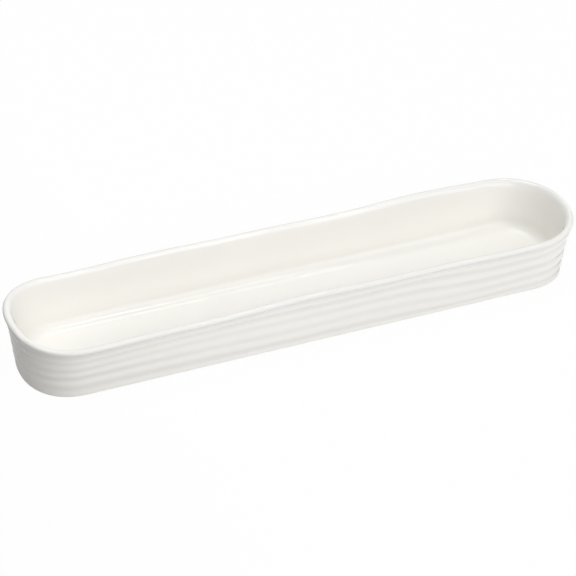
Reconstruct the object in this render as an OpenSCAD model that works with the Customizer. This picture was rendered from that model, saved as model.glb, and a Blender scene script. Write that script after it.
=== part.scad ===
// Long narrow cracker tray in white glazed porcelain.
// A flared wall with hand-made rings stands around a flat floor, on a low bare foot ring.
// Millimetres, +Z up. The origin is on the table, under the middle of the tray.

/* [Tray] */
// Finished length over the rim
tray_length = 330; // [200:1:450]
// Finished width over the rim, before its sway
tray_width = 75; // [60:1:140]
// Mean height of the rim's top above the table
tray_height = 34; // [26:0.5:60]
// Depth of each rounded end at the rim, along the length
end_depth = 34; // [28:0.5:60]
// Roundness of the ends in plan: 2 is an ellipse, more is squarer
end_squareness = 2.25; // [2:0.05:3]

/* [Wall] */
// How far the wall leans out between the base and the lip
flare = 4.4; // [0:0.1:10]
// Extra roll outwards at the lip
lip_roll = 1.2; // [0:0.1:2]
// Height over which the lip rolls out
lip_roll_reach = 11; // [3:0.5:14]
// Radius of the lip's tight outer edge, under the glaze
lip_edge = 1.2; // [0.4:0.1:2]
// Height of the lip's broad rounding inside, under the glaze
lip_round = 3.4; // [1.5:0.1:5]
// Wall thickness at the rim, under the glaze
rim_wall = 3.6; // [3:0.1:6.5]
// Wall thickness just above the floor, under the glaze
base_wall = 4.9; // [3.5:0.1:7]
// Height of the floor above the table, under the glaze
floor_top = 4.5; // [3.5:0.25:8]
// Radius between the floor and the wall inside
floor_fillet = 8; // [4:0.25:10]

/* [Rings] */
// Number of ribs up the outside
rib_count = 5; // [3:1:8]
// Depth of the groove between two ribs
rib_depth = 0.7; // [0.1:0.05:1.2]
// How far a rib rises and drops on its way round
rib_wander = 2.4; // [0:0.1:3]
// Share of its depth that a groove loses where it fades
rib_fade = 0.35; // [0:0.05:0.9]
// Share of its depth that a groove loses at the left end's tip
tip_calm = 0.85; // [0:0.05:1]

/* [Hand-made waves] */
// Rise and dip of the rim on its way round
rim_wave = 0.45; // [0:0.05:0.8]
// Sway of the rim in and out on its way round
side_sway = 0.5; // [0:0.05:0.9]

/* [Foot] */
// Rounding between the wall and the foot ring
foot_corner = 1.4; // [1.2:0.1:3]
// Height of the foot ring's crisp ground edge
foot_edge = 0.2; // [0.1:0.05:0.5]
// Width of the flat foot ring
foot_width = 3; // [2:0.25:5]
// Depth of the recess inside the foot ring
foot_recess = 1.2; // [0.8:0.1:2]

/* [Glaze] */
// Thickness of the glaze
glaze = 0.3; // [0.15:0.05:0.5]
// Angle around the foot's rounding at which the glaze is wiped off
glaze_stop = 20; // [10:1:35]

/* [Facets] */
// Steps around a quarter of an end
end_steps = 8; // [5:1:10]
// Steps along a straight side
side_steps = 13; // [8:1:16]
// Rows of facets from one rib to the next
rows_per_rib = 4; // [4:1:5]

/* [Hidden] */

// Steps of the fillet inside, the bare inner wall and the lip
fillet_steps = 5;
wall_steps = 3;
lip_steps = 6;
// Angle where the bare rounding turns down to the foot
bare_turn = 55;
// Spare height under the foot that is ground off flat
grind = 0.3;
// Slope of the foot ring's inner side, outwards for each millimetre down
foot_slope = 1;

// Waves on the way round: count, share of the named height, starting angle
rim_waves = [[3, 1, 116], [5, 0.8, -151], [6, 1.1, -45], [8, 1, -29]];
sway_waves = [[3, 0.75, -20], [5, 1, 45]];
wander_waves = [[1, 1, 160], [6, 0.27, 230], [8, 0.15, 130]];
// Turn of the wander between the foot and the rim, so that no two ribs run alike
wander_turn = 135;
// Places round the wall where the grooves fade, and their shift up the wall
fade_count = 2;
fade_turn = 470;
// How close to the left end's tip the grooves run out: more is closer
calm_power = 80;

// Half sizes of the base outline, on which the leaning wall stands
lean_out = glaze + flare + lip_roll;
base_x = tray_length / 2 - lean_out;
base_y = tray_width / 2 - lean_out;
base_end = end_depth - lean_out;

lip_height = tray_height - glaze - lip_edge;
lip_start = tray_height - glaze - lip_round;
lip_top = lean(lip_height) - lip_edge;
fillet_top = floor_top + floor_fillet;
wall_start = foot_edge + foot_corner;
rib_rows = rib_count * rows_per_rib;

function total(list) = list * [for (value = list) 1];
function unit(v) = v / norm(v);
function waves(list, u) = total([for (w = list) w[1] * cos(360 * w[0] * u - w[2])]);

// Base outline: points with their outward directions, anticlockwise from the right end's tip

function end_station(k) =
    let (a = 90 * k / end_steps)
    let (x = pow(cos(a), 2 / end_squareness))
    let (y = pow(sin(a), 2 / end_squareness))
    let (out = [pow(x, end_squareness - 1) / base_end, pow(y, end_squareness - 1) / base_y])
    [[base_x - base_end + base_end * x, base_y * y], unit(out)];

function side_station(k) = [[(base_x - base_end) * (1 - 2 * k / side_steps), base_y], [0, 1]];

function mirrored(station, sx, sy) = [for (v = station) [v.x * sx, v.y * sy]];

outline = concat(
    [for (k = [0:end_steps]) end_station(k)],
    [for (k = [1:side_steps - 1]) side_station(k)],
    [for (k = [end_steps:-1:0]) mirrored(end_station(k), -1, 1)],
    [for (k = [1:end_steps]) mirrored(end_station(k), -1, -1)],
    [for (k = [1:side_steps - 1]) mirrored(side_station(k), -1, -1)],
    [for (k = [end_steps:-1:1]) mirrored(end_station(k), 1, -1)]
);
stations = len(outline);
steps = [for (i = [0:stations - 1]) norm(outline[(i + 1) % stations][0] - outline[i][0])];
loop_length = total(steps);
loop_place = [for (i = 0, s = 0; i < stations; s = s + steps[i], i = i + 1) s / loop_length];

// Wall section: [distance out from the base outline, height]

function lean(h) =
    let (roll = max(0, 1 - (lip_height - h) / lip_roll_reach))
    flare * h / lip_height + lip_roll * roll * roll;

function wall_at(h) = rim_wall + (base_wall - rim_wall) * (lip_height - h) / (lip_height - floor_top);

function inside(h) = [lean(h) - wall_at(h), h];

function fillet(a) = inside(fillet_top) - floor_fillet * [1 - sin(a), cos(a)];

// Over the lip: from 180 degrees inside, past 90 at its top, to 0 outside
function lip(a) = a > 90
    ? [lip_top + (lip_top - inside(lip_start)[0]) * cos(a), lip_start + lip_round * sin(a)]
    : [lip_top + lip_edge * cos(a), lip_height + lip_edge * sin(a)];

function groove(u, v) =
    let (fading = (1 + cos(360 * fade_count * u + fade_turn * v)) / 2)
    let (calm = tip_calm * pow(max(0, -cos(360 * u)), calm_power))
    rib_depth * (1 - rib_fade * fading) * (1 - calm) * (1 - cos(360 * rib_count * v)) / 2;

// Rise of a rib at share v of the wall: none at the foot and the lip, most half-way up
function wander(u, v) =
    let (turned = [for (w = wander_waves) [w[0], w[1], w[2] + wander_turn * v]])
    rib_wander * (1 - pow(abs(1 - 2 * v), 3)) * waves(turned, u);

function outside(u, v) =
    let (h = wall_start + (lip_height - wall_start) * v + wander(u, v))
    [lean(h) - groove(u, v), h];

function corner(a) = [lean(wall_start) - foot_corner * (1 - cos(a)), wall_start - foot_corner * sin(a)];

// The wall waves and sways more the higher it stands, and the floor and the foot stay true
function waved(u, p) =
    let (share = max(0, (p[1] - floor_top) / (lip_height - floor_top)))
    p + share * [side_sway * waves(sway_waves, u), rim_wave * waves(rim_waves, u)];

// From the edge of the floor, up inside, over the lip and down to where the glaze ends
function glazed_section(u) = [
    for (p = concat(
        [for (k = [0:fillet_steps]) fillet(90 * k / fillet_steps)],
        [for (k = [1:wall_steps - 1]) inside(fillet_top + (lip_start - fillet_top) * k / wall_steps)],
        [for (k = [0:lip_steps - 1]) lip(180 - 180 * k / lip_steps)],
        [for (j = [rib_rows:-1:0]) outside(u, j / rib_rows)],
        [corner(glaze_stop)]
    )) waved(u, p)
];

foot_outer = lean(wall_start) - foot_corner;
foot_inner = foot_outer - foot_width;

// A point on the foot ring's sloping inner side, at height h
function foot_side(h) = [foot_inner - foot_slope * (h - foot_edge), h];

// The bare foot ring, then its inner side up to the recess
function bare_section(u) = [
    for (p = [
        corner(bare_turn),
        [foot_outer, foot_edge],
        [foot_outer, -grind],
        [foot_inner, -grind],
        foot_side(foot_edge),
        foot_side(foot_recess - glaze),
        foot_side(foot_recess)
    ]) waved(u, p)
];

// Direction out of the porcelain at row k of a section
function outward(section, k) =
    let (after = section[min(k + 1, len(section) - 1)])
    let (along = after - section[max(k - 1, 0)])
    k == 0 ? [0, 1] : unit([-along[1], along[0]]);

function coated(section) = [for (k = [0:len(section) - 1]) section[k] + glaze * outward(section, k)];

// One ring of points for each row of the sections
function rings(sections) = [
    for (k = [0:len(sections[0]) - 1]) [
        for (i = [0:stations - 1])
            let (flat = outline[i][0] + outline[i][1] * sections[i][k][0])
            [flat.x, flat.y, sections[i][k][1]]
    ]
];

function reversed(list) = [for (k = [len(list) - 1:-1:0]) list[k]];

body_rings = rings([for (u = loop_place) glazed_section(u)]);
skin_rings = rings([for (u = loop_place) coated(glazed_section(u))]);
bare_rings = rings([for (u = loop_place) bare_section(u)]);
recess_edge = len(bare_rings) - 1;

// Solid through a list of rings. From ring number turn on, the facets lean the other way,
// so that two solids that share a surface share its facets too.
module loft(rings, turn) {
    n = len(rings[0]);
    last = len(rings) - 1;
    bands = [
        for (k = [0:last - 1], i = [0:n - 1])
            let (a = k * n + i, b = k * n + (i + 1) % n, c = b + n, d = a + n)
            each k < turn ? [[a, b, c], [a, c, d]] : [[a, b, d], [b, c, d]]
    ];
    top = [for (i = [0:n - 1]) (n - i) % n];
    bottom = [for (i = [0:n - 1]) last * n + i];
    polyhedron([for (ring = rings, p = ring) p], concat([top], bands, [bottom]));
}

// Fired porcelain: floor, ribbed wall and lip, with the foot ring ground flat
module porcelain_body() {
    all_rings = concat(body_rings, bare_rings);
    color("floralwhite")
        difference() {
            loft(all_rings, len(all_rings));
            translate([-tray_length, -tray_width, -tray_height])
                cube([2 * tray_length, 2 * tray_width, tray_height]);
        }
}

// Clear gloss glaze over the inside, the lip and the outside, down to the wiped foot
module glaze_coat() {
    color("ivory")
        loft(concat(skin_rings, reversed(body_rings)), len(skin_rings));
}

// Glaze on the underside, inside the foot ring
module underside_glaze() {
    color("ivory")
        loft([bare_rings[recess_edge], bare_rings[recess_edge - 1]], 0);
}

porcelain_body();
glaze_coat();
underside_glaze();
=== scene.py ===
import math
import bpy
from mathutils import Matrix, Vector


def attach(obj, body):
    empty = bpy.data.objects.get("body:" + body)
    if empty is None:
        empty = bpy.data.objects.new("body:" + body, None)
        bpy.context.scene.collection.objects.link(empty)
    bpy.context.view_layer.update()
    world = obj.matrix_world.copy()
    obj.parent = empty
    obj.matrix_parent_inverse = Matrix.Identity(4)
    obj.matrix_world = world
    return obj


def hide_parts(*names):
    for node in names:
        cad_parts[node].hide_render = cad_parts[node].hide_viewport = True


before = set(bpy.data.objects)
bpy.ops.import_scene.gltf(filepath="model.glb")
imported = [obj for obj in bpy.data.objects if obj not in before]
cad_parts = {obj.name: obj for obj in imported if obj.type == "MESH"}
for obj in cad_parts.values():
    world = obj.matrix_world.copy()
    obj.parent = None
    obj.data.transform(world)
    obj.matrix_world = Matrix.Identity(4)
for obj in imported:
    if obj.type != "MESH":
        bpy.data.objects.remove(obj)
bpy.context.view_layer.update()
print("frame loaded:", sorted(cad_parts))


def addObject(name, data):
    made = bpy.data.objects.new(name, data)
    bpy.context.scene.collection.objects.link(made)
    return made


def aimAt(thing, target):
    thing.rotation_mode = "QUATERNION"
    thing.rotation_quaternion = (target - thing.location).to_track_quat("-Z", "Y")


# the photograph's view: angles in degrees, lens and sensor in millimetres, the rest in metres
photoView = {
    "azimuth": -22.32,
    "elevation": 34.70,
    "distance": 1.485,
    "lens": 167.0,
    "sensor": 36.0,
    "aimRight": -0.0036,
    "aimUp": 0.0128,
    "clipNear": 0.05,
    "clipFar": 20.0,
}


def placeCamera(view):
    turn, tilt = math.radians(view["azimuth"]), math.radians(view["elevation"])
    level = math.cos(tilt)
    back = Vector((math.sin(turn) * level, -math.cos(turn) * level, math.sin(tilt)))
    right = Vector((math.cos(turn), math.sin(turn), 0))
    up = back.cross(right)
    lens = bpy.data.cameras.new("photoCamera")
    lens.lens, lens.sensor_width = view["lens"], view["sensor"]
    lens.clip_start, lens.clip_end = view["clipNear"], view["clipFar"]
    camera = addObject("photoCamera", lens)
    camera.location = back * view["distance"]
    aimAt(camera, right * view["aimRight"] + up * view["aimUp"])
    bpy.context.scene.camera = camera


placeCamera(photoView)
print("camera placed")


# puts a plain value into a socket, or links another node's output to it
def feed(link, slot, value):
    if isinstance(value, NodeValue):
        value = value.socket
    if isinstance(value, bpy.types.NodeSocket):
        link(value, slot)
    else:
        slot.default_value = value


# a number in a node tree that can be added, multiplied and so on like a plain one
class NodeValue:
    def __init__(self, tree, socket):
        self.tree, self.socket = tree, socket

    def work(self, operation, *values):
        node = self.tree.nodes.new("ShaderNodeMath")
        node.operation = operation
        for slot, value in zip(node.inputs, values):
            feed(self.tree.links.new, slot, value)
        return NodeValue(self.tree, node.outputs[0])

    def __add__(self, other):
        return self.work("ADD", self, other)

    def __radd__(self, other):
        return self.work("ADD", other, self)

    def __sub__(self, other):
        return self.work("SUBTRACT", self, other)

    def __rsub__(self, other):
        return self.work("SUBTRACT", other, self)

    def __mul__(self, other):
        return self.work("MULTIPLY", self, other)

    def __rmul__(self, other):
        return self.work("MULTIPLY", other, self)

    def __truediv__(self, other):
        return self.work("DIVIDE", self, other)

    def __rtruediv__(self, other):
        return self.work("DIVIDE", other, self)

    def __neg__(self):
        return self.work("MULTIPLY", self, -1.0)

    def power(self, other):
        return self.work("POWER", self, other)

    def sine(self):
        return self.work("SINE", self)

    def cosine(self):
        return self.work("COSINE", self)

    def magnitude(self):
        return self.work("ABSOLUTE", self)

    def sign(self):
        return self.work("SIGN", self)

    def atLeast(self, other):
        return self.work("MAXIMUM", self, other)

    def atMost(self, other):
        return self.work("MINIMUM", self, other)


def addSockets(tree, direction, kinds):
    for label, kind in kinds.items():
        tree.interface.new_socket(name=label, in_out=direction, socket_type=kind)


# the tray's sizes as the CAD has them: lengths in metres, shares and counts, and one angle
traySizes = {
    "Length": 0.330,
    "Width": 0.075,
    "Height": 0.034,
    "End Depth": 0.034,
    "Squareness": 2.25,  # of the ends: 2 is an ellipse, more is squarer
    "Flare": 0.0044,
    "Lip Roll": 0.0012,
    "Lip Roll Reach": 0.011,
    "Lip Edge": 0.0012,
    "Lip Round": 0.0034,
    "Lip Tight": 0.5,  # only here: share of the rounding that is lost away from the right end
    "Lip Front": 0.5,  # only here: share of what is left that is lost along the front
    "Rim Wall": 0.0036,
    "Base Wall": 0.0049,
    "Floor Top": 0.0045,
    "Floor Fillet": 0.008,
    "Rib Count": 5,
    "Rib Depth": 0.0007,
    "Rib Wander": 0.0024,
    "Rib Fade": 0.35,  # share of its depth that a groove loses where it fades
    "Tip Calm": 0.85,  # and at the left end's tip
    "Rim Wave": 0.00045,
    "Side Sway": 0.0005,
    "Foot Corner": 0.0014,
    "Foot Edge": 0.0002,
    "Foot Width": 0.003,
    "Foot Recess": 0.0012,
    "Foot Slope": 1.0,
    "Glaze": 0.0003,
    "Glaze Stop": math.radians(20),
}

# waves on the way round: count, share of the named size, starting angle in degrees
trayWaves = {
    "rim": [(3, 1, 116), (5, 0.8, -151), (6, 1.1, -45), (8, 1, -29)],
    "sway": [(3, 0.75, -20), (5, 1, 45)],
    "wander": [(1, 1, 160), (6, 0.27, 230), (8, 0.15, 130)],
    "wanderTurn": math.radians(135),  # from the foot to the rim, so that no two ribs run alike
    "fadeCount": 2,  # places round the wall where the grooves fade
    "fadeTurn": math.radians(470),  # shift of those places up the wall
    "calmPower": 80.0,  # more keeps the calm closer to the tip
}

# how thickly the glaze lies, together with painted light and shade, as a share that its colour
# follows
trayPoolingAndShading = {
    # floor and inner wall: thicker glaze, with painted warm bounce light inside the tray
    "floor": 0.6,
    "wall": 0.82,
    # lip: darker, from thinner glaze and painted shade
    "lip": 0.1,
    "lipEdgeGain": 0.15,  # on the way down the lip's outer edge
    # rib crests lighter as painted light; grooves and the wall just under the lip darker as
    # painted shade
    "ribs": 0.85,
    "paintedGrooveShade": 0.85,
    "paintedUnderLipShade": 0.6,
    "underLipShadeReach": 0.2,  # share of the wall's height
}

# rows of faces in each band of the section, and faces round the tray
trayMesh = {
    "around": 320,
    "outlinePoints": 1022,  # no multiple of 4, so that none lies half-way along a side
    "floor": 8,
    "fillet": 10,
    "inside": 12,
    "lipRound": 10,
    "lipEdge": 4,
    "ribs": 92,
    "corner": 4,
    "bare": 6,
    "foot": 3,
    "edge": 1,
    "slopeStep": 0.0005,  # height over which the wall's slope below the lip is taken
    "weld": 0.00001,  # points closer than this become one
    "sharpAngle": math.radians(40),
}

trayPieces = {"body": 0, "glaze": 1, "underside": 2}


def joinMeshes(tree, meshes, weldGap):
    joined = tree.nodes.new("GeometryNodeJoinGeometry")
    for socket in meshes:
        tree.links.new(socket, joined.inputs[0])
    weld = tree.nodes.new("GeometryNodeMergeByDistance")
    weld.inputs["Distance"].default_value = weldGap
    tree.links.new(joined.outputs[0], weld.inputs["Geometry"])
    return weld.outputs[0]


def flipFaces(tree, mesh):
    turned = tree.nodes.new("GeometryNodeFlipFaces")
    tree.links.new(mesh, turned.inputs["Mesh"])
    return turned.outputs[0]


# the glaze coat: the glazed sheet raised by its thickness, closed on the porcelain side
def raiseCoat(tree, covered, thickness, weldGap):
    raised = tree.nodes.new("GeometryNodeExtrudeMesh")
    raised.mode = "FACES"
    raised.inputs["Individual"].default_value = False
    tree.links.new(covered, raised.inputs["Mesh"])
    tree.links.new(thickness.socket, raised.inputs["Offset Scale"])
    return joinMeshes(tree, (raised.outputs["Mesh"], flipFaces(tree, covered)), weldGap)


def buildTrayTree(sizes, waves, poolingAndShading, mesh):
    tree = bpy.data.node_groups.new("trayShape", "GeometryNodeTree")
    nodes, link = tree.nodes, tree.links.new
    for label, value in sizes.items():
        socket = tree.interface.new_socket(
            name=label, in_out="INPUT", socket_type="NodeSocketFloat")
        socket.default_value = value
    addSockets(tree, "INPUT", {"Piece": "NodeSocketInt", "Finish": "NodeSocketMaterial"})
    addSockets(tree, "OUTPUT", {"Geometry": "NodeSocketGeometry"})
    given = nodes.new("NodeGroupInput").outputs
    size = {label: NodeValue(tree, given[label]) for label in sizes}

    def flatParts(socket):
        split = nodes.new("ShaderNodeSeparateXYZ")
        link(socket, split.inputs[0])
        return [NodeValue(tree, split.outputs[axis]) for axis in ("X", "Y")]

    def vector(*values):
        merged = nodes.new("ShaderNodeCombineXYZ")
        for slot, value in zip(merged.inputs, values):
            feed(link, slot, value)
        return merged.outputs[0]

    leanOut = size["Glaze"] + size["Flare"] + size["Lip Roll"]
    baseX = size["Length"] * 0.5 - leanOut
    baseY = size["Width"] * 0.5 - leanOut
    baseEnd = size["End Depth"] - leanOut
    lipHeight = size["Height"] - size["Glaze"] - size["Lip Edge"]
    filletTop = size["Floor Top"] + size["Floor Fillet"]
    wallStart = size["Foot Edge"] + size["Foot Corner"]

    # base outline: two superellipse ends, joined by the straight sides
    ring = nodes.new("GeometryNodeCurvePrimitiveCircle")
    ring.inputs["Resolution"].default_value = mesh["outlinePoints"]
    index = NodeValue(tree, nodes.new("GeometryNodeInputIndex").outputs[0])
    angle = index * (math.tau / mesh["outlinePoints"])
    across, along = angle.sine(), angle.cosine()
    bow = 2.0 / size["Squareness"]
    outlineX = along.sign() * (baseX - baseEnd + baseEnd * along.magnitude().power(bow))
    outlineY = across.sign() * baseY * across.magnitude().power(bow)
    outline = nodes.new("GeometryNodeSetPosition")
    link(ring.outputs[0], outline.inputs["Geometry"])
    link(vector(outlineX, outlineY, 0.0), outline.inputs["Position"])

    # place on a grid: round the tray from the right end's tip, and along the band
    gridX, gridY = flatParts(nodes.new("GeometryNodeInputPosition").outputs[0])
    place, step = gridX + 0.5, gridY + 0.5
    sample = nodes.new("GeometryNodeSampleCurve")
    sample.mode = "FACTOR"
    link(outline.outputs[0], sample.inputs["Curves"])
    link(place.socket, sample.inputs["Factor"])
    baseAtX, baseAtY = flatParts(sample.outputs["Position"])
    tangentX, tangentY = flatParts(sample.outputs["Tangent"])
    rightward = (place * math.tau).cosine()  # 1 at the right end's tip, -1 at the left end's

    def waveSum(group, turn=0.0):
        total = 0.0
        for count, share, start in group:
            phase = place * (math.tau * count) - math.radians(start) - turn
            total = total + share * phase.cosine()
        return total

    sway = size["Side Sway"] * waveSum(waves["sway"])
    rise = size["Rim Wave"] * waveSum(waves["rim"])

    # the lip turns over broadly at the right end, and more tightly to the left and along the front
    nearRight = rightward.atLeast(0.0)
    broad = nearRight * nearRight * (3.0 - 2.0 * nearRight)
    front = (-baseAtY / baseY).atLeast(0.0)
    tight = (1.0 - size["Lip Tight"] * (1.0 - broad)) * (1.0 - size["Lip Front"] * front)
    lipTurn = size["Lip Round"] * tight
    lipStart = size["Height"] - size["Glaze"] - lipTurn

    # the wall's section: each point is its distance out from the base outline, and its height
    def lean(h):
        roll = (1.0 - (lipHeight - h) / size["Lip Roll Reach"]).atLeast(0.0)
        return size["Flare"] * h / lipHeight + size["Lip Roll"] * roll * roll

    def wallAt(h):
        drop = (lipHeight - h) / (lipHeight - size["Floor Top"])
        return size["Rim Wall"] + (size["Base Wall"] - size["Rim Wall"]) * drop

    def inside(h):
        return lean(h) - wallAt(h), h

    def fillet(a):
        out, h = inside(filletTop)
        radius = size["Floor Fillet"]
        return out - radius * (1.0 - a.sine()), h - radius * a.cosine()

    lipTop = lean(lipHeight) - size["Lip Edge"]

    # the wall runs on smoothly into the lip, up to the lip's flat top
    def lipRound(t):
        start, rest = inside(lipStart)[0], 1.0 - t
        slope = (start - inside(lipStart - mesh["slopeStep"])[0]) / mesh["slopeStep"]
        bend = start + slope * lipTurn
        out = start * rest * rest + 2.0 * bend * t * rest + lipTop * t * t
        return out, lipStart + lipTurn * (1.0 - rest * rest)

    def lipEdge(a):
        radius = size["Lip Edge"]
        return lipTop + radius * a.cosine(), lipHeight + radius * a.sine()

    # depth of the grooves at share v of the wall's height, as a share of the full depth
    def grooveShare(v):
        fadePhase = place * (math.tau * waves["fadeCount"]) + v * waves["fadeTurn"]
        fading = (fadePhase.cosine() + 1.0) * 0.5
        ripple = (1.0 - (v * math.tau * size["Rib Count"]).cosine()) * 0.5
        tip = (-rightward).atLeast(0.0)
        calm = size["Tip Calm"] * tip.power(waves["calmPower"])
        return (1.0 - size["Rib Fade"] * fading) * (1.0 - calm) * ripple

    # the ribs wander most half-way up, and not at all at the foot and the lip
    def outside(v):
        wander = size["Rib Wander"] * waveSum(waves["wander"], v * waves["wanderTurn"])
        freedom = 1.0 - (1.0 - 2.0 * v).magnitude().power(3.0)
        h = wallStart + (lipHeight - wallStart) * v + freedom * wander
        return lean(h) - size["Rib Depth"] * grooveShare(v), h

    def corner(a):
        out = lean(wallStart) - size["Foot Corner"] * (1.0 - a.cosine())
        return out, wallStart - size["Foot Corner"] * a.sine()

    footOuter = lean(wallStart) - size["Foot Corner"]
    footInner = footOuter - size["Foot Width"]

    def footSide(h):
        return footInner - size["Foot Slope"] * (h - size["Foot Edge"]), h

    # a point of the section on the base outline, with the waves that grow up the wall
    def standing(section):
        out, h = section
        share = ((h - size["Floor Top"]) / (lipHeight - size["Floor Top"])).atLeast(0.0)
        reach = out + sway * share
        return baseAtX + tangentY * reach, baseAtY - tangentX * reach, h + rise * share

    def between(a, b):
        return [p + (q - p) * step for p, q in zip(a, b)]

    # the nearest point on the line along the middle of the floor
    def spine(point):
        half = baseX - baseEnd
        return point[0].atMost(half).atLeast(-half), 0.0, point[2]

    # one band of faces, with its glaze tone share: how thickly the glaze lies, and painted light
    # and shade there
    def band(rows, point, poolAndShade=0.0):
        grid = nodes.new("GeometryNodeMeshGrid")
        grid.inputs["Size X"].default_value = 1
        grid.inputs["Size Y"].default_value = 1
        grid.inputs["Vertices X"].default_value = mesh["around"] + 1
        grid.inputs["Vertices Y"].default_value = rows + 1
        mark = nodes.new("GeometryNodeStoreNamedAttribute")
        mark.data_type, mark.domain = "FLOAT", "POINT"
        mark.inputs["Name"].default_value = "glazePoolAndShade"
        link(grid.outputs["Mesh"], mark.inputs["Geometry"])
        feed(link, mark.inputs["Value"], poolAndShade)
        moved = nodes.new("GeometryNodeSetPosition")
        link(mark.outputs[0], moved.inputs["Geometry"])
        link(vector(*point), moved.inputs["Position"])
        return moved.outputs[0]

    # bands joined into one sheet, with its faces out of the porcelain
    def sheet(bands):
        return flipFaces(tree, joinMeshes(tree, bands, mesh["weld"]))

    quarter = math.pi / 2
    falling = 1.0 - step  # from 1 at a band's first row to 0 at its last
    # floor and wall tones: thicker glaze, with painted warm bounce light inside the tray
    floorPoolAndBounceLight, wallPoolAndBounceLight, lipThinAndShade = poolingAndShading["floor"], poolingAndShading["wall"], poolingAndShading["lip"]
    filletPoolAndBounceLight = floorPoolAndBounceLight + (wallPoolAndBounceLight - floorPoolAndBounceLight) * step
    floorEdge = standing(fillet(0.0 * step))  # at no angle, where the rounding leaves the floor
    innerWall = standing(inside(filletTop + (lipStart - filletTop) * step))

    # over the lip the tone darkens from the wall's to the lip's, from thinner glaze and painted
    # shade: evenly at the back, with painted shade sooner at the right end, and painted light
    # keeping the front lip's far side lighter
    backLip = falling * (1.0 - broad * (1.0 - falling * falling))
    frontLip = 1.0 - step * step * step
    lipRoundToneAndShade = lipThinAndShade + (wallPoolAndBounceLight - lipThinAndShade) * (backLip + front * (frontLip - backLip))
    lipEdgeToneAndShade = lipThinAndShade + poolingAndShading["lipEdgeGain"] * step * step
    # painted light and shade on the ribs: crests lighter, grooves darker, and the wall darker just
    # under the lip
    underLip = (1.0 - step / poolingAndShading["underLipShadeReach"]).atLeast(0.0)
    paintedGrooveShade = poolingAndShading["paintedGrooveShade"] * grooveShare(falling)
    ribLightAndShade = poolingAndShading["ribs"] - paintedGrooveShade - poolingAndShading["paintedUnderLipShade"] * underLip
    glazed = [
        band(mesh["floor"], between(spine(floorEdge), floorEdge), floorPoolAndBounceLight),
        band(mesh["fillet"], standing(fillet(step * quarter)), filletPoolAndBounceLight),
        band(mesh["inside"], innerWall, wallPoolAndBounceLight),
        band(mesh["lipRound"], standing(lipRound(step)), lipRoundToneAndShade),
        band(mesh["lipEdge"], standing(lipEdge(falling * quarter)), lipEdgeToneAndShade),
        band(mesh["ribs"], standing(outside(falling)), ribLightAndShade),
        # the foot corner keeps the crests' painted lighter tone
        band(mesh["corner"], standing(corner(size["Glaze Stop"] * step)), poolingAndShading["ribs"]),
    ]

    # the bare foot ring, its inner side and the underside
    bareTurn = size["Glaze Stop"] + (quarter - size["Glaze Stop"]) * step
    ringOuter = standing((footOuter, size["Foot Edge"])), standing((footOuter, 0.0))
    ringInner = standing((footInner, 0.0)), standing(footSide(size["Foot Edge"]))
    lowGlaze = standing(footSide(size["Foot Recess"] - size["Glaze"]))
    recess = standing(footSide(size["Foot Recess"]))
    bare = [
        band(mesh["bare"], standing(corner(bareTurn))),
        band(mesh["edge"], between(*ringOuter)),
        band(mesh["foot"], between(ringOuter[1], ringInner[0])),
        band(mesh["edge"], between(*ringInner)),
        band(mesh["foot"], between(ringInner[1], lowGlaze)),
        band(mesh["edge"], between(lowGlaze, recess)),
        band(mesh["floor"], between(recess, spine(recess))),
    ]
    patch = [
        band(mesh["floor"], between(spine(recess), recess), floorPoolAndBounceLight),
        band(mesh["edge"], between(recess, lowGlaze), floorPoolAndBounceLight),
        band(mesh["floor"], between(lowGlaze, spine(lowGlaze)), floorPoolAndBounceLight),
    ]

    shapes = {
        "body": sheet(glazed + bare),
        "glaze": raiseCoat(tree, sheet(glazed), size["Glaze"], mesh["weld"]),
        "underside": sheet(patch),
    }
    choice = nodes.new("GeometryNodeIndexSwitch")
    choice.data_type = "GEOMETRY"
    choice.index_switch_items.new()
    link(given["Piece"], choice.inputs["Index"])
    for piece, number in trayPieces.items():
        link(shapes[piece], choice.inputs[1 + number])
    smooth = nodes.new("GeometryNodeSetShadeSmooth")
    real = nodes.new("GeometryNodeRealizeInstances")
    finish = nodes.new("GeometryNodeSetMaterial")
    result = nodes.new("NodeGroupOutput")
    link(choice.outputs[0], smooth.inputs["Geometry"])
    link(smooth.outputs[0], real.inputs["Geometry"])
    link(real.outputs[0], finish.inputs["Geometry"])
    link(given["Finish"], finish.inputs["Material"])
    link(finish.outputs[0], result.inputs["Geometry"])
    return tree


def mapRange(nodes, link, value, fromEnds=(0, 1), toEnds=(0, 1), kind="LINEAR"):
    node = nodes.new("ShaderNodeMapRange")
    node.interpolation_type = kind
    node.inputs["From Min"].default_value, node.inputs["From Max"].default_value = fromEnds
    node.inputs["To Min"].default_value, node.inputs["To Max"].default_value = toEnds
    feed(link, node.inputs["Value"], value)
    return node.outputs["Result"]


# where a Mix node has its first value, its second value and its result
mixSockets = {"FLOAT": (2, 3, 0), "RGBA": (6, 7, 2)}


def mix(nodes, link, kind, share, first, second):
    node = nodes.new("ShaderNodeMix")
    node.data_type = kind
    firstAt, secondAt, resultAt = mixSockets[kind]
    feed(link, node.inputs["Factor"], share)
    feed(link, node.inputs[firstAt], first)
    feed(link, node.inputs[secondAt], second)
    return node.outputs[resultAt]


# clouding and fine grain that both the glaze and the bare porcelain show
kilnLook = {
    "cloudDetail": 3.0,
    "cloudReach": (0.35, 0.68),  # of the noise, from plain to clouded
    "grainDetail": 2.0,
}


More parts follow.
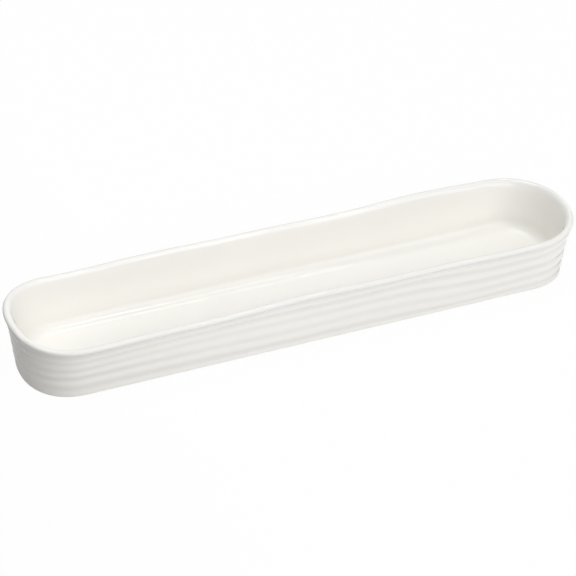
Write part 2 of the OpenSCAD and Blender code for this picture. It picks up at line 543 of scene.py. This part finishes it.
def buildKilnGroup(look):
    group = bpy.data.node_groups.new("kilnClouding", "ShaderNodeTree")
    addSockets(group, "INPUT", {
        "Vector": "NodeSocketVector",
        "Cloud Scale": "NodeSocketFloat",
        "Grain Scale": "NodeSocketFloat",
        "Plain": "NodeSocketColor",
        "Clouded": "NodeSocketColor",
    })
    addSockets(group, "OUTPUT", {
        "Color": "NodeSocketColor",
        "Cloud": "NodeSocketFloat",
        "Grain": "NodeSocketFloat",
    })
    nodes, link = group.nodes, group.links.new
    given, result = nodes.new("NodeGroupInput").outputs, nodes.new("NodeGroupOutput").inputs

    def noise(scale, detail):
        node = nodes.new("ShaderNodeTexNoise")
        link(given["Vector"], node.inputs["Vector"])
        link(given[scale], node.inputs["Scale"])
        node.inputs["Detail"].default_value = detail
        return node.outputs[0]

    cloud = mapRange(nodes, link, noise("Cloud Scale", look["cloudDetail"]), look["cloudReach"])
    link(mix(nodes, link, "RGBA", cloud, given["Plain"], given["Clouded"]), result["Color"])
    link(cloud, result["Cloud"])
    link(noise("Grain Scale", look["grainDetail"]), result["Grain"])
    return group


kilnGroup = buildKilnGroup(kilnLook)


def newMaterial(name):
    material = bpy.data.materials.new(name)
    material.use_nodes = True
    nodes = material.node_tree.nodes
    return material, nodes, material.node_tree.links.new, nodes["Principled BSDF"]


def addClouding(nodes, link, look):
    kiln = nodes.new("ShaderNodeGroup")
    kiln.node_tree = kilnGroup
    link(nodes.new("ShaderNodeTexCoord").outputs["Object"], kiln.inputs["Vector"])
    kiln.inputs["Cloud Scale"].default_value = look["cloudScale"]
    kiln.inputs["Grain Scale"].default_value = look["grainScale"]
    kiln.inputs["Plain"].default_value = (*look["plain"], 1)
    kiln.inputs["Clouded"].default_value = (*look["clouded"], 1)
    return kiln.outputs


def addBump(nodes, link, shader, height, strength, depth):
    bump = nodes.new("ShaderNodeBump")
    bump.inputs["Strength"].default_value = strength
    bump.inputs["Distance"].default_value = depth
    link(height, bump.inputs["Height"])
    link(bump.outputs["Normal"], shader.inputs["Normal"])


glazeLook = {
    "plain": (0.900, 0.892, 0.864),
    "clouded": (0.886, 0.877, 0.844),
    "pooledAndLit": (0.915, 0.898, 0.850),
    "pooledAndLitReach": (0.45, 0.9),  # from the plain glaze to the thickest, lighter and warmer: thicker glaze, with painted warm bounce light inside the tray and painted light on the rib crests
    "thinAndShaded": (0.845, 0.838, 0.812),
    "thinAndShadedReach": (0.45, 0.1),  # and to the darkest: thinner glaze with painted shade on the lip, and painted shade in the grooves and under the lip
    "cloudScale": 26.0,
    "grainScale": 95.0,
    "roughness": (0.03, 0.07),  # from plain to clouded
    "specular": 0.5,
    "peel": 0.06,  # strength of the slight orange peel
    "peelDepth": 0.0004,
}


def glazeMaterial(look):
    material, nodes, link, shader = newMaterial("whiteGlaze")
    kiln = addClouding(nodes, link, look)
    # the tone share: glaze thickness, with painted light and shade on the lip, the ribs and inside
    # the tray
    poolAndShade = nodes.new("ShaderNodeAttribute")
    poolAndShade.attribute_name = "glazePoolAndShade"
    color = kiln["Color"]
    for shade in ("pooledAndLit", "thinAndShaded"):
        share = mapRange(nodes, link, poolAndShade.outputs["Fac"], look[shade + "Reach"])
        color = mix(nodes, link, "RGBA", share, color, (*look[shade], 1))
    link(color, shader.inputs["Base Color"])
    gloss = mapRange(nodes, link, kiln["Cloud"], toEnds=look["roughness"])
    link(gloss, shader.inputs["Roughness"])
    shader.inputs["Specular IOR Level"].default_value = look["specular"]
    addBump(nodes, link, shader, kiln["Grain"], look["peel"], look["peelDepth"])
    return material


bareLook = {
    "plain": (0.800, 0.780, 0.730),
    "clouded": (0.735, 0.710, 0.655),
    "cloudScale": 60.0,
    "grainScale": 2600.0,
    "roughness": 0.72,
    "grain": 0.35,
    "grainDepth": 0.0002,
}


def bareMaterial(look):
    material, nodes, link, shader = newMaterial("barePorcelain")
    kiln = addClouding(nodes, link, look)
    link(kiln["Color"], shader.inputs["Base Color"])
    shader.inputs["Roughness"].default_value = look["roughness"]
    addBump(nodes, link, shader, kiln["Grain"], look["grain"], look["grainDepth"])
    return material


whiteGlaze = glazeMaterial(glazeLook)
barePorcelain = bareMaterial(bareLook)
print("materials made")

trayTree = buildTrayTree(traySizes, trayWaves, trayPoolingAndShading, trayMesh)
trayInputs = {
    item.name: item.identifier
    for item in trayTree.interface.items_tree
    if item.in_out == "INPUT"
}


def makeTrayPiece(name, piece, material, node):
    made = addObject(name, bpy.data.meshes.new(name))
    shape = made.modifiers.new("trayShape", "NODES")
    shape.node_group = trayTree
    shape[trayInputs["Piece"]] = trayPieces[piece]
    shape[trayInputs["Finish"]] = material
    graph = bpy.context.evaluated_depsgraph_get()
    made.data = bpy.data.meshes.new_from_object(
        made.evaluated_get(graph), preserve_all_data_layers=True, depsgraph=graph)
    made.modifiers.clear()
    made.data.name = name
    made.data.set_sharp_from_angle(angle=trayMesh["sharpAngle"])
    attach(made, "root")
    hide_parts(node)
    print(name, "has", len(made.data.polygons), "faces")


makeTrayPiece("tray_body", "body", barePorcelain, "porcelain_body")
makeTrayPiece("tray_glaze", "glaze", whiteGlaze, "glaze_coat")
makeTrayPiece("tray_underside_glaze", "underside", whiteGlaze, "underside_glaze")

studio = {
    "floorSize": 8.0,
    "floorColor": (0.90, 0.90, 0.90),
    "floorRoughness": 0.9,
    "floorSpecular": 0.0,
    "shadeColor": (0.18, 0.18, 0.18),  # of the floor, on the side away from the lamps
    "shadeEdge": (-0.36, -0.08),  # from that colour to the floor's own, to the right
    "floorWhite": 0.97,  # share of plain white that the camera sees in the floor
    "floorGloss": 0.12,  # share of that white that the glaze mirrors
    "skyWhite": 1.0,  # what the camera sees of the sky
    "skyLevel": (0.46, 0.03),  # from the middle of the room to its two dark sides
    "skyEdge": (0.10, 0.78),  # how far from its middle the sky begins and ends to darken
    "skyMiddle": 0.19,  # to the right, where 1 is straight to the side
}


# one where the camera looks and through glass, and the given share in mirrors
def seenRay(tree, glossShare=1.0):
    ray = tree.nodes.new("ShaderNodeLightPath").outputs
    seen = NodeValue(tree, ray["Is Camera Ray"])
    mirrored = NodeValue(tree, ray["Is Glossy Ray"]) * glossShare
    through = NodeValue(tree, ray["Is Transmission Ray"])
    return seen.atLeast(mirrored).atLeast(through)


def buildFloor(look):
    half = look["floorSize"] / 2
    corners = [(-half, -half, 0), (half, -half, 0), (half, half, 0), (-half, half, 0)]
    mesh = bpy.data.meshes.new("studioFloor")
    mesh.from_pydata(corners, [], [(0, 1, 2, 3)])
    floor = addObject("studioFloor", mesh)
    material, nodes, link, shader = newMaterial("paleFloor")
    split = nodes.new("ShaderNodeSeparateXYZ")
    link(nodes.new("ShaderNodeTexCoord").outputs["Object"], split.inputs[0])
    lit = mapRange(nodes, link, split.outputs["X"], look["shadeEdge"])
    tone = mix(nodes, link, "RGBA", lit, (*look["shadeColor"], 1), (*look["floorColor"], 1))
    link(tone, shader.inputs["Base Color"])
    shader.inputs["Roughness"].default_value = look["floorRoughness"]
    shader.inputs["Specular IOR Level"].default_value = look["floorSpecular"]
    white = seenRay(material.node_tree, look["floorGloss"]) * look["floorWhite"]
    mixed = nodes.new("ShaderNodeMixShader")
    link(white.socket, mixed.inputs["Fac"])
    link(shader.outputs[0], mixed.inputs[1])
    link(nodes.new("ShaderNodeEmission").outputs[0], mixed.inputs[2])
    link(mixed.outputs[0], nodes["Material Output"].inputs["Surface"])
    mesh.materials.append(material)


def buildSky(look):
    world = bpy.data.worlds.new("studioSky")
    bpy.context.scene.world = world
    world.use_nodes = True
    tree = world.node_tree
    nodes, link = tree.nodes, tree.links.new
    split = nodes.new("ShaderNodeSeparateXYZ")
    link(nodes.new("ShaderNodeTexCoord").outputs["Generated"], split.inputs[0])
    sideways = (NodeValue(tree, split.outputs["X"]) - look["skyMiddle"]).magnitude()
    level = mapRange(nodes, link, sideways, look["skyEdge"], look["skyLevel"], "SMOOTHSTEP")
    sky = nodes["Background"]
    sky.inputs["Color"].default_value = (1, 1, 1, 1)
    strength = mix(nodes, link, "FLOAT", seenRay(tree), level, look["skyWhite"])
    link(strength, sky.inputs["Strength"])


# places, aims and sizes in metres, power in watts
softboxes = {
    "keyStrip": {
        "place": (0.34, -0.53, 1.5), "aim": (0.34, -0.53, 0),
        "size": (0.44, 0.08), "power": 2.2,
    },
    "backStrip": {
        "place": (0.36, 0.50, 1.5), "aim": (0.36, 0.50, 0),
        "size": (0.50, 0.06), "power": 1.7,
    },
    "midFront": {
        "place": (0.6, -2.0, 1.1), "aim": (0.2, 0, 0),
        "size": (4.2, 0.9), "power": 26.6,
    },
    "highFront": {
        "place": (0.4, -1.4, 2.0), "aim": (0, 0, 0),
        "size": (3.2, 1.2), "power": 8.0,
    },
    "topLeft": {
        "place": (-0.55, 0.2, 2.2), "aim": (-0.55, 0.2, 0),
        "size": (0.8, 1.6), "power": 14.8,
    },
    "backLeft": {
        "place": (-0.5, 1.0, 2.0), "aim": (0, 0, 0),
        "size": (0.9, 1.2), "power": 5.0,
    },
    "backLow": {
        "place": (0.2, 2.0, 1.3), "aim": (0, 0, 0),
        "size": (3.4, 0.8), "power": 4.5,
    },
}


def addSoftbox(name, look):
    light = bpy.data.lights.new(name, "AREA")
    light.shape = "RECTANGLE"
    light.size, light.size_y = look["size"]
    light.energy = look["power"]
    lamp = addObject(name, light)
    lamp.location = look["place"]
    aimAt(lamp, Vector(look["aim"]))


buildFloor(studio)
buildSky(studio)
for boxName, boxLook in softboxes.items():
    addSoftbox(boxName, boxLook)
bpy.context.scene.view_settings.view_transform = "Standard"
print("studio lit")
